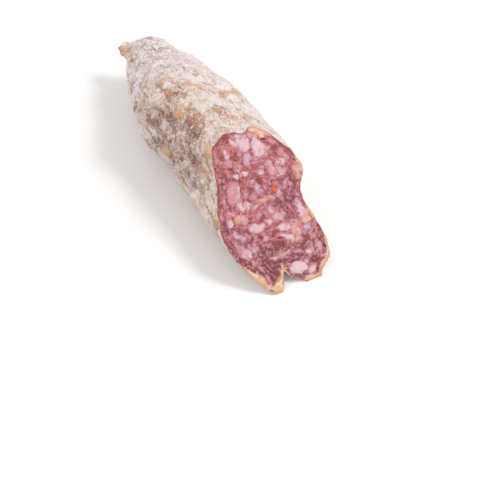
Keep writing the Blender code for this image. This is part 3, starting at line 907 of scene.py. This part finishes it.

# the rim: dried tan fat round the lower lobes, with painted highlights, and a thin dark line elsewhere
rim_colour = ramp(tree, broad, 0.38, 0.58, (228, 152, 110), (248, 208, 174))
rim_depth = more(tree, noted(tree, "inward"), soft_shift, 2.0)
rim_colour = mixed(tree, between(tree, rim_depth, 0.2, 1.0, 0.5, 0.0), rim_colour, (224, 150, 96))
# painted highlight: whitish patches on the tan rim
rim_colour = mixed(tree, between(tree, soft, 0.50, 0.66, 0.0, 0.7), rim_colour, (248, 218, 196))
rim_share = more(tree, noted(tree, "tan_rim"), soft_shift, 1.4)
colour = ramp(tree, rim_share, 0.15, 1.0, colour, rim_colour)
# painted glints: tiny near-white specks stand in for glints of light on the moist face; dark specks
# follow
colour = mixed(tree, between(tree, glint_and_speck_noise, 0.66, 0.74, 0.0, 0.45), colour, (244, 222, 226))
colour = mixed(tree, between(tree, glint_and_speck_noise, 0.27, 0.35, 0.40, 0.0), colour, (122, 52, 60))
skin_edge = more(tree, noted(tree, "inward"), soft_shift, -3.0)
skin_edge = between(tree, skin_edge, 0.1, 0.9, 0.70, 0.0)
skin_edge = times(tree, skin_edge, between(tree, rim_share, 0.3, 0.7, 1.0, 0.15))
colour = mixed(tree, skin_edge, colour, (140, 68, 62))
# painted shade: the pits and cracks are darkened
colour = mixed(tree, noted(tree, "pit"), colour, (60, 24, 30))
fill(shader.inputs["Base Color"], colour, tree)
fill(shader.inputs["Roughness"], between(tree, fine, 0.3, 0.7, 0.45, 0.70), tree)
bumps = more(tree, fine, soft, 0.8)
relief_node = add_node(tree, "ShaderNodeBump", {"Strength": 1.0, "Distance": 0.0004, "Height": bumps})
fill(shader.inputs["Normal"], relief_node.outputs[0], tree)
inputs = {"Strength": 1.0, "Distance": 0.0006, "Height": more(tree, soft, fine, 0.25)}
moist_node = add_node(tree, "ShaderNodeBump", inputs)
fill(shader.inputs["Coat Normal"], moist_node.outputs[0], tree)
shader.inputs["Subsurface Weight"].default_value = 0.20
shader.inputs["Subsurface Radius"].default_value = (1.0, 0.4, 0.3)
shader.inputs["Subsurface Scale"].default_value = 0.001
shader.inputs["Coat Weight"].default_value = 0.42
shader.inputs["Coat Roughness"].default_value = 0.06
meat.data.materials.append(meat_finish)
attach(meat, "root")
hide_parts("sausage")


# The spice
# Cracked black pepper and flakes of dried red pepper, mixed through the meat and cut by
# the knife, so that each bit lies sunk in the face with only its top showing.

# Place to the side and down the slope, half-length, half-width, turn, and which spice
SPICE_BITS = (
    (9.9, -11.6, 1.9, 0.85, 95, "red"), (10.5, -8.9, 0.6, 0.35, 70, "red"),
    (-17.3, -7.3, 0.9, 0.4, 30, "orange"), (-16.2, -6.6, 0.6, 0.3, 10, "orange"),
    (7.5, 16.4, 0.9, 0.5, 160, "orange"), (22.9, 23.8, 0.9, 0.75, 40, "black"),
    (16.7, 3.9, 0.45, 0.35, 0, "black"), (-9.7, 19.5, 0.4, 0.3, 10, "black"),
    (-22.4, 14.1, 0.5, 0.4, 50, "black"),
)
SPICE_COLOURS = {
    "red": ((205, 62, 34), (236, 112, 62)),
    "orange": ((214, 112, 48), (240, 160, 96)),
    "black": ((34, 26, 26), (92, 74, 66)),
}
SPICE_SIDES = 12
# Each ring of a bit, from the bottom: its share of the full width, and how high it stands
SPICE_RINGS = ((1.0, -0.5), (1.0, 0.10), (0.62, 0.34))
SPICE_TOP = 0.40
SPICE_BOTTOM = 0.55


def on_face(side, down):
    """The knife's surface in millimetres, for a place to the side and down the slope."""
    point = CUT_MIDDLE + CUT_DOWN * down + CUT_OUTWARD * knife_wave(side, down)
    point[1] = side
    return point


for colour_name, (dark, light) in SPICE_COLOURS.items():
    points, faces = [], []
    draw = np.random.default_rng(len(colour_name))
    for side_at, down_at, half_long, half_wide, turned, which in SPICE_BITS:
        if which != colour_name:
            continue
        middle = on_face(side_at, down_at)
        c, s = math.cos(math.radians(turned)), math.sin(math.radians(turned))
        first = len(points)
        for wide, lift in SPICE_RINGS:
            for i in range(SPICE_SIDES):
                round_it = 2.0 * math.pi * i / SPICE_SIDES
                uneven = wide * draw.uniform(0.78, 1.15)
                ahead = half_long * uneven * math.cos(round_it)
                across = half_wide * uneven * math.sin(round_it)
                place = middle + CUT_DOWN * (s * ahead + c * across) + CUT_OUTWARD * lift
                place[1] += c * ahead - s * across
                points.append(place)
        points.append(middle + CUT_OUTWARD * SPICE_TOP)
        points.append(middle - CUT_OUTWARD * SPICE_BOTTOM)
        for i in range(SPICE_SIDES):
            j = (i + 1) % SPICE_SIDES
            for ring in (first, first + SPICE_SIDES):
                faces.append((ring + j, ring + i, ring + i + SPICE_SIDES, ring + j + SPICE_SIDES))
            top = first + 2 * SPICE_SIDES
            faces.append((top + j, top + i, first + 3 * SPICE_SIDES))
            faces.append((first + i, first + j, first + 3 * SPICE_SIDES + 1))
    spice = piece_from(f"{colour_name}_pepper", np.array(points), faces)
    spice_finish, tree, shader = finish_named(f"{colour_name}_pepper_skin")
    patches = mottle(tree, millimetres(tree), 0.5, 3.0, 0.65)
    fill(shader.inputs["Base Color"], ramp(tree, patches, 0.4, 0.6, dark, light), tree)
    shader.inputs["Roughness"].default_value = 0.35
    bumps = add_node(tree, "ShaderNodeBump", {"Strength": 0.6, "Distance": 0.0002, "Height": patches})
    fill(shader.inputs["Normal"], bumps.outputs[0], tree)
    spice.data.materials.append(spice_finish)
    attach(spice, "root")
    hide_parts("sausage")


# The mould crumbs
# Where the mould has grown thickest it stands up in tiny dry tufts, which cling to the
# casing more closely on top than along the streaked flank, and leave the bare places free.

CRUMB_SIZE = (0.16, 0.36)
CRUMBS_PER_SQUARE_MM = 0.16
CRUMB_PROPORTIONS = (1.15, 0.9, 0.55)
CRUMB_SEED = 8

tree = bpy.data.node_groups.new("scatter_mould_crumbs", "GeometryNodeTree")
tree.interface.new_socket("Skin", in_out="INPUT", socket_type="NodeSocketGeometry")
for socket_name in ("Crumbs per square metre", "Smallest", "Largest"):
    tree.interface.new_socket(socket_name, in_out="INPUT", socket_type="NodeSocketFloat")
tree.interface.new_socket("Crumbs", in_out="OUTPUT", socket_type="NodeSocketGeometry")
given = add_node(tree, "NodeGroupInput").outputs
thick = add_node(tree, "GeometryNodeInputNamedAttribute", {"Name": "thick"}).outputs["Attribute"]
density = times(tree, thick, given["Crumbs per square metre"])
inputs = {"Mesh": given["Skin"], "Density": density, "Seed": CRUMB_SEED}
spots = add_node(tree, "GeometryNodeDistributePointsOnFaces", inputs)
tuft = add_node(tree, "GeometryNodeMeshIcoSphere", {"Radius": 1.0, "Subdivisions": 1})
sizes = {"Min": given["Smallest"], "Max": given["Largest"], "Seed": CRUMB_SEED + 1}
size = add_node(tree, "FunctionNodeRandomValue", sizes, data_type="FLOAT")
squash = add_node(tree, "ShaderNodeCombineXYZ")
for axis, share in zip("XYZ", CRUMB_PROPORTIONS):
    fill(squash.inputs[axis], times(tree, size.outputs[1], share), tree)
inputs = {"Points": spots.outputs["Points"], "Instance": tuft.outputs["Mesh"],
          "Rotation": spots.outputs["Rotation"], "Scale": squash.outputs[0]}
scattered = add_node(tree, "GeometryNodeInstanceOnPoints", inputs)
real = add_node(tree, "GeometryNodeRealizeInstances", {"Geometry": scattered.outputs[0]})
crumb_finish, crumb_tree, shader = finish_named("dry_mould_tufts")
patches = mottle(crumb_tree, millimetres(crumb_tree), 3.0, 3.0, 0.6)
pale = ramp(crumb_tree, patches, 0.4, 0.6, (234, 224, 224), (244, 236, 222))
fill(shader.inputs["Base Color"], pale, crumb_tree)
shader.inputs["Roughness"].default_value = 0.95
shader.inputs["Specular IOR Level"].default_value = 0.2
inputs = {"Geometry": real.outputs[0], "Material": crumb_finish}
coloured = add_node(tree, "GeometryNodeSetMaterial", inputs)
out = add_node(tree, "NodeGroupOutput")
tree.links.new(coloured.outputs[0], out.inputs["Crumbs"])

thick = np.clip(1.3 * cover - 0.35 - 1.2 * bare - 0.6 * nub, 0.0, 1.0) * (share < 0.985)
note_on(casing, "thick", thick.ravel())
carrier = bpy.data.objects.new("mould_crumb_carrier", casing.data.copy())
bpy.context.scene.collection.objects.link(carrier)
scatter = carrier.modifiers.new("scatter", "NODES")
scatter.node_group = tree
given_sizes = {
    "Crumbs per square metre": CRUMBS_PER_SQUARE_MM / MM ** 2,
    "Smallest": CRUMB_SIZE[0] * MM,
    "Largest": CRUMB_SIZE[1] * MM,
}
for item in tree.interface.items_tree:
    if item.name in given_sizes:
        scatter[item.identifier] = given_sizes[item.name]
graph = bpy.context.evaluated_depsgraph_get()
crumb_mesh = bpy.data.meshes.new_from_object(carrier.evaluated_get(graph))
bpy.data.objects.remove(carrier)
crumbs = bpy.data.objects.new("mould_crumbs", crumb_mesh)
bpy.context.scene.collection.objects.link(crumbs)
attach(crumbs, "root")
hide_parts("sausage")


# The floor, the light and the camera
# A plain pale floor under soft light from above and behind on the right, seen from the
# cut end, half-way between the side and the top.

floor_finish, tree, shader = finish_named("pale_floor")
shader.inputs["Base Color"].default_value = (0.93, 0.93, 0.93, 1.0)
shader.inputs["Roughness"].default_value = 0.7
floor_mesh = bpy.data.meshes.new("floor")
reach = 3.0
corners = [(-reach, -reach, 0.0), (reach, -reach, 0.0), (reach, reach, 0.0), (-reach, reach, 0.0)]
floor_mesh.from_pydata(corners, [], [(0, 1, 2, 3)])
floor_mesh.materials.append(floor_finish)
floor = bpy.data.objects.new("floor", floor_mesh)
bpy.context.scene.collection.objects.link(floor)

ROOM_COLOUR = (1.0, 0.985, 0.97, 1.0)
ROOM_LIGHT = 0.80
LIT_PLACE = (0.0, 0.0, 0.02)

world = bpy.data.worlds.new("soft_room")
world.use_nodes = True
room = world.node_tree.nodes["Background"]
room.inputs["Color"].default_value = ROOM_COLOUR
room.inputs["Strength"].default_value = ROOM_LIGHT
bpy.context.scene.world = world


def soft_light(name, place, size, power):
    lamp = bpy.data.lights.new(name, "AREA")
    lamp.shape = "DISK"
    lamp.size = size
    lamp.energy = power
    made = bpy.data.objects.new(name, lamp)
    made.location = place
    made.rotation_euler = (Vector(place) - Vector(LIT_PLACE)).to_track_quat("Z", "Y").to_euler()
    bpy.context.scene.collection.objects.link(made)


soft_light("key_light", (0.16, 0.50, 0.80), size=0.28, power=3.5)
soft_light("fill_light", (0.10, -0.80, 0.45), size=0.6, power=1.2)

VIEW_ROUND = math.radians(61.1)
VIEW_UP = math.radians(50.0)
VIEW_DISTANCE = 1.0
VIEW_AIM = Vector(in_metres(np.array([131.1, -9.0, 0.0])))
FOCAL_LENGTH = 150.0
level = math.cos(VIEW_UP)
back = Vector((math.sin(VIEW_ROUND) * level, -math.cos(VIEW_ROUND) * level, math.sin(VIEW_UP)))
right = Vector((math.cos(VIEW_ROUND), math.sin(VIEW_ROUND), 0.0))
up = back.cross(right)
eye = bpy.data.cameras.new("photo_view")
eye.lens = FOCAL_LENGTH
eye.sensor_width = 36.0
camera = bpy.data.objects.new("photo_view", eye)
turned = Matrix((right, up, back)).transposed().to_4x4()
camera.matrix_world = Matrix.Translation(VIEW_AIM + back * VIEW_DISTANCE) @ turned
bpy.context.scene.collection.objects.link(camera)
bpy.context.scene.camera = camera
bpy.context.scene.view_settings.view_transform = "Standard"
